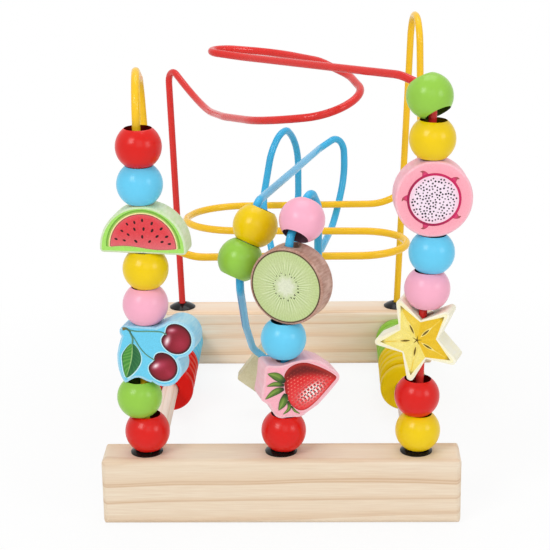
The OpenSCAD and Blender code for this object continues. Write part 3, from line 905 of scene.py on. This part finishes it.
def drawBerry(look):
    sheet = groundSheet("strawberry", look)
    loop = loopThrough(look["outline"], 200)
    mid = np.array(look["middle"])
    body, shade, light, edge = inksOf(look, "body shade light edge")
    duskEdge, shine, halo = inksOf(look, "duskEdge shine halo")
    layPatch(sheet, mid + (loop - mid) * look["haloGrow"], mid, 1, flat(halo), 1)
    pitch = look["pitchMm"]
    across, along = look["slant"]

    def netAt(x):
        return math.exp(-((x % 1 - 0.5) / 0.24) ** 2)

    def fleshAt(u, w, s):
        band = 6.0 + 0.9 * math.sin((u - 2) / 6.0) - 0.006 * (u - 12) ** 2
        lit = 0.55 * spotAt(u, w, (14, -8), (9, 5), 40) + 0.3 * spotAt(u, w, (3, -4), (4, 6))
        c = blend(body, light, lit)
        dusk = clamp((w - band + 2.2) / 5.0)
        c = blend(c, shade, dusk * dusk * (3 - 2 * dusk))
        c = blend(c, duskEdge, 0.75 * clamp((s - 0.8) / 0.12) * dusk)
        c = blend(c, shade, 0.55 * spotAt(u, w, (-1.0, 1.0), (1.6, 9)))
        # the wet shine breaks into a net between the seeds
        net = max(netAt((u * across + w * along) / pitch), netAt((w * across - u * along) / pitch))
        c = blend(c, shine, net * 1.5 * spotAt(u, w, look["shineAt"], (7.6, 3.9), look["shineTurn"]))
        return blend(c, edge, (s - 0.93) / 0.1)
    layPatch(sheet, loop, mid, 2, fleshAt, 46)
    leafLight, leafDark, leafBase, leafRib = inksOf(look, "leafLight leafDark leafBase leafRib")

    def leafAt(t, s):
        c = blend(leafDark, leafLight, 1.5 * t * (1.3 - t) + 0.1)
        c = blend(c, leafDark, 0.7 * abs(s) ** 3 + (0.35 if s > 0.05 else 0.0))
        c = blend(c, leafRib, 0.5 * math.exp(-((s + 0.1) / 0.14) ** 2) * t)
        return blend(c, leafBase, 1 - t / 0.3)
    for i, (path, width) in enumerate(look["sepals"]):
        layStrip(sheet, lineThrough(path, 22),
                 lambda t: 0.12 + width * math.sin(math.pi * (0.12 + 0.88 * t)) ** 0.9,
                 3 + (i % 2), leafAt, 10)
    addPrint("strawberry", sheet)
    # seeds on a slanted net inside the outline, dark where the shine surrounds them
    bearings = np.arctan2(loop[:, 1] - mid[1], loop[:, 0] - mid[0])
    seedLit, seedDim, seedShine = inksOf(look, "seedLit seedDim seedShine")
    points = []
    for i in range(-14, 24):
        for j in range(-16, 16):
            a, b = i + 0.5 * (j % 2), j * 0.88
            u, w = pitch * (a * across - b * along) + 4, pitch * (a * along + b * across)
            d = np.array([u, w]) - mid
            k = np.argmin(np.abs(np.angle(np.exp(1j * (bearings - math.atan2(d[1], d[0]))))))
            if np.linalg.norm(d) > 0.9 * np.linalg.norm(loop[k] - mid):
                continue
            lit = spotAt(u, w, look["shineAt"], (7.4, 3.7), look["shineTurn"])
            dim = 1 / (1 + math.exp(-(w - 6.4) * 1.6))
            colour = blend(blend(seedLit, seedDim, dim), seedShine, lit * 1.6)
            points.append((u, w, 0.0, math.radians(look["seedTurn"]), 0.8 + 0.3 * lit, colour))
    sowSeeds("strawberry", points, look, 3)


drawBerry(berryLook)


# star fruit

starLook = {"ground": "#FBF4CB", "pale": "#F1DE70", "gold": "#E7BA16", "goldEdge": "#F5D94E",
            "rim": "#FFF3AE", "pod": "#FBEA90", "slit": "#655010", "slitEdge": "#A88C30", "tip": "#84701C",
            "reach": 20.5, "notch": 10.3, "firstArm": 46.6, "arms": 5}


def drawStar(look):
    sheet = groundSheet("star", look)
    pale, gold, goldEdge, rim, tip = inksOf(look, "pale gold goldEdge rim tip")
    pod, slit, slitEdge = inksOf(look, "pod slit slitEdge")
    step = 360 / look["arms"]

    def ray(angle, first, last, count):
        return [polar(r, angle) for r in np.linspace(first, last, count)]
    for k in range(look["arms"]):
        arm = look["firstArm"] + step * k
        # two facets to an arm, paler towards the left
        for way in (-1, 1):
            corners = [polar(look["reach"], arm), polar(look["notch"], arm + step / 2 * way), np.zeros(2)]
            mid = sum(corners) / 3
            side = []
            for i in range(3):
                span = corners[(i + 1) % 3] - corners[i]
                side.append(corners[i] + span * np.linspace(0, 1, 20)[:-1, None])
            tone = 1 / (1 + math.exp(-(mid[0] * 0.75 + 0.25 * mid[1] - way * 0.5)))

            def facetAt(u, w, s):
                r = math.hypot(u, w)
                c = blend(pale, gold, tone)
                c = blend(c, rim, 0.5 * math.exp(-((r - 11) / 7) ** 2) * (1 - 0.7 * tone) * (1 - s))
                c = blend(c, rim if tone < 0.5 else goldEdge, 0.35 * s ** 6)
                return blend(c, tip, (r - 17.6) / 2.0)
            layPatch(sheet, np.vstack(side), mid, 1, facetAt, 10)
        layStrip(sheet, ray(arm, 2.6, 17.5, 24), lambda t: 0.22 + 0.1 * t, 2,
                 lambda t, s: blend(rim, gold, 0.35 + 0.4 * t))
        layStrip(sheet, ray(arm, 3.0, 11.4, 22), lambda t: 0.1 + 0.9 * math.sin(math.pi * t ** 0.8) ** 0.9,
                 3, lambda t, s: blend(pod, gold, 0.4 * abs(s)), 4)
        layStrip(sheet, ray(arm, 3.8, 9.2, 18), lambda t: 0.06 + 0.46 * math.sin(math.pi * t) ** 0.9, 4,
                 lambda t, s: blend(slit, slitEdge, 0.5 * abs(s) ** 2), 4)
        layStrip(sheet, ray(arm + step / 2, 0.0, 2.7, 8), lambda t: 0.34 * (1 - 0.75 * t), 4,
                 lambda t, s: blend(slit, gold, t * 0.6))
    addPrint("star", sheet)


drawStar(starLook)


# melon slice

melonLook = {
    "ground": "#A6E067", "dark": "#74A83B", "rind": "#94C451", "cream": "#F2E0A0", "line": "#8C4A40",
    # size and drop of the bottom line for each band of the rind, from outside
    "bands": ((1.125, 0.0, "dark"), (1.085, 0.0, "rind"), (1.045, 0.25, "cream"), (1.005, 0.1, "line")),
    "flesh": "#DE3E46", "soft": "#DD6A71", "fleck": "#F08A8C", "seed": "#2C080A",
    "fleshBand": (0.985, -0.15), "middle": (0.3, 1.2), "reach": (17.7, 18.0), "waveMm": 0.75,
    # count, radius, first and last angle of each row of seeds
    "rows": ((9, 14.4, 10, 164), (7, 10.4, 16, 160), (3, 5.4, 40, 140)), "seedMm": (1.95, 1.15),
}


def drawMelon(look):
    sheet = groundSheet("melon", look)
    mid = np.array(look["middle"])
    wide, high = look["reach"]

    def slicePath(grow, drop):
        # half an oval over a gently waved bottom line
        top = [mid + np.array([math.cos(a) * wide, math.sin(a) * high]) * grow
               for a in np.linspace(0, math.pi, 72)]
        u = np.linspace(top[-1][0], top[0][0], 48)[1:-1]
        wave = look["waveMm"] * np.sin((u + wide) / wide * math.pi)
        return np.vstack([top, np.stack([u, mid[1] - 0.2 + wave - drop], 1)])
    heart = mid + np.array([0, 7.0])
    for layer, (grow, drop, key) in enumerate(look["bands"], 1):
        layPatch(sheet, slicePath(grow, drop), heart, layer, flat(ink(look[key])), 1)
    flesh, soft, fleck, seed = inksOf(look, "flesh soft fleck seed")

    def fleshAt(u, w, s):
        c = blend(flesh, soft, 0.9 - (w - mid[1]) / 9)
        c = blend(c, soft, (s - 0.8) * 2.5)
        mottle = math.sin(u * 2.3 + 1.7 * math.sin(w * 1.9)) * math.sin(w * 2.7 + 1.1 * math.sin(u * 1.3))
        return blend(c, fleck, 0.16 * mottle)
    layPatch(sheet, slicePath(*look["fleshBand"]), heart, len(look["bands"]) + 1, fleshAt, 24)
    addPrint("melon", sheet)
    points = []
    for row, (count, radius, first, last) in enumerate(look["rows"]):
        for k in range(count):
            a = first + (last - first) * k / (count - 1) + 3 * math.sin(5.1 * k + row)
            r = radius + 0.5 * math.sin(3.3 * k + 2 * row)
            points.append((*polar(r, a, mid), 0.0, math.radians(a), 1 + 0.1 * math.sin(7 * k), seed))
    sowSeeds("melon", points, look, 6)


drawMelon(melonLook)


# dragon fruit

dragonLook = {
    "ground": "#FBA4B4", "rimGround": "#FAB4C0", "skin": "#C91F5B", "skinDeep": "#A3184A",
    "flesh": "#F6E2F0", "fleshRim": "#F6C9DA", "scale": "#E23A73", "tip": "#8B5040", "seed": "#20121F",
    "faceMm": 19.05, "skinMm": (14.1, 12.8),
    "scales": ((112, 1), (47.6, -1), (-37, 1), (254.5, -1), (177.5, 1)),        # angle and way of the curl
    "scalePath": ((13.5, 0), (15.0, 0.6), (16.1, 2.4), (16.7, 6)),              # radius and turn
    "dotMm": 0.52, "gapMm": 1.36, "bareMm": 1.1, "throwSeed": 11,
}


def drawDragon(look):
    sheet = newSheet()
    middle = (0, 0)
    ground, rimGround, skin, deep = inksOf(look, "ground rimGround skin skinDeep")
    scale, tip, flesh, fleshRim = inksOf(look, "scale tip flesh fleshRim")
    layPatch(sheet, roundLoop(middle, look["faceMm"], 96), middle, 0,
             lambda u, w, s: blend(ground, rimGround, (s - 0.8) * 3), 8)
    for angle, curl in look["scales"]:
        path = [polar(r, angle + turn * curl) for r, turn in look["scalePath"]]
        layStrip(sheet, lineThrough(path, 18), lambda t: 1.8 * (1 - t) ** 1.15 + 0.14, 1,
                 lambda t, s: blend(blend(scale, tip, t * 1.4 - 0.3), deep, 0.8 * abs(s) ** 3 * (1 - t)), 6)
    outer, inner = look["skinMm"]
    layPatch(sheet, roundLoop(middle, outer, 96), middle, 2,
             lambda u, w, s: blend(skin, deep, 0.5 - 0.07 * (u + 0.6 * w)), 3, inner / outer * 0.98)
    layPatch(sheet, roundLoop(middle, inner, 96), middle, 3,
             lambda u, w, s: blend(flesh, fleshRim, (s - 0.75) * 3.2), 12)
    addPrint("dragon", sheet)
    made = runTree("dragon", seedsOnDisc, [(0, 0, 0)], {
        "Disc radius": inner - look["bareMm"], "Seed size": look["dotMm"], "Least gap": look["gapMm"],
        "Seed": look["throwSeed"], "Ink": printedInk})
    setInk(made, [ink(look["seed"])] * len(made.vertices))
    addSeeds("dragon", made, 4)


drawDragon(dragonLook)


# kiwi

kiwiLook = {"flesh": "#C4D299", "outer": "#BCCD8B", "ray": "#DFE9BD", "groove": "#A4BB77",
            "core": "#DFE4CA", "rim": "#46331F", "skin": "#A98F72", "seed": "#3A4526", "faceMm": 19.75,
            "coreMm": 5.6, "rays": 46, "flecks": 69, "seedRingMm": 7.0, "seeds": 23, "seedMm": (1.15, 0.75)}


def drawKiwi(look):
    sheet = newSheet()
    flesh, outer, ray, groove, core, rim, skin = inksOf(look, "flesh outer ray groove core rim skin")

    def fleshAt(u, w, s):
        r, a = math.hypot(u, w), math.atan2(w, u)
        c = blend(flesh, outer, (r - 12) / 6)
        lines = 0.5 + 0.5 * math.cos(look["rays"] * a + 1.4 * math.sin(3 * a))
        ragged = 14.0 + 1.5 * math.sin(9 * a) + 1.1 * math.sin(23 * a + 1)
        reach = clamp((ragged - r) / 4.5) * clamp((r - 4.6) / 2.0)
        c = blend(c, ray, 0.85 * reach * lines ** 2)
        c = blend(c, groove, 0.55 * reach * (1 - lines) ** 2)
        flecks = 0.5 + 0.5 * math.cos(look["flecks"] * a + 2 * math.sin(5 * a) + 0.9 * math.sin(1.7 * r))
        c = blend(c, ray, 0.3 * flecks ** 2 * clamp((r - 9) / 4))
        coreEdge = look["coreMm"] + 0.5 * math.sin(7 * a) + 0.3 * math.sin(17 * a)
        c = blend(c, core, (coreEdge + 1.4 - r) / 3.4)
        c = blend(c, skin, (s - 0.955) / 0.01 * 0.5)
        return blend(c, rim, (s - 0.966) / 0.008)
    layPatch(sheet, roundLoop((0, 0), look["faceMm"], 276), (0, 0), 0, fleshAt, 72)
    addPrint("kiwi", sheet)
    points = []
    for k in range(look["seeds"]):
        a = 2 * math.pi * k / look["seeds"] + 0.06 * math.sin(4.7 * k)
        r = look["seedRingMm"] + 0.55 * math.sin(2.9 * k)
        grow = 0.85 + 0.2 * math.sin(6.1 * k)
        points.append((r * math.cos(a), r * math.sin(a), 0.0, a, grow, ink(look["seed"])))
    sowSeeds("kiwi", points, look, 1)


drawKiwi(kiwiLook)
print("fruit pictures laid")

low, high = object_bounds()
print("visual box", [round((b - a) * 1000, 1) for a, b in zip(low, high)])
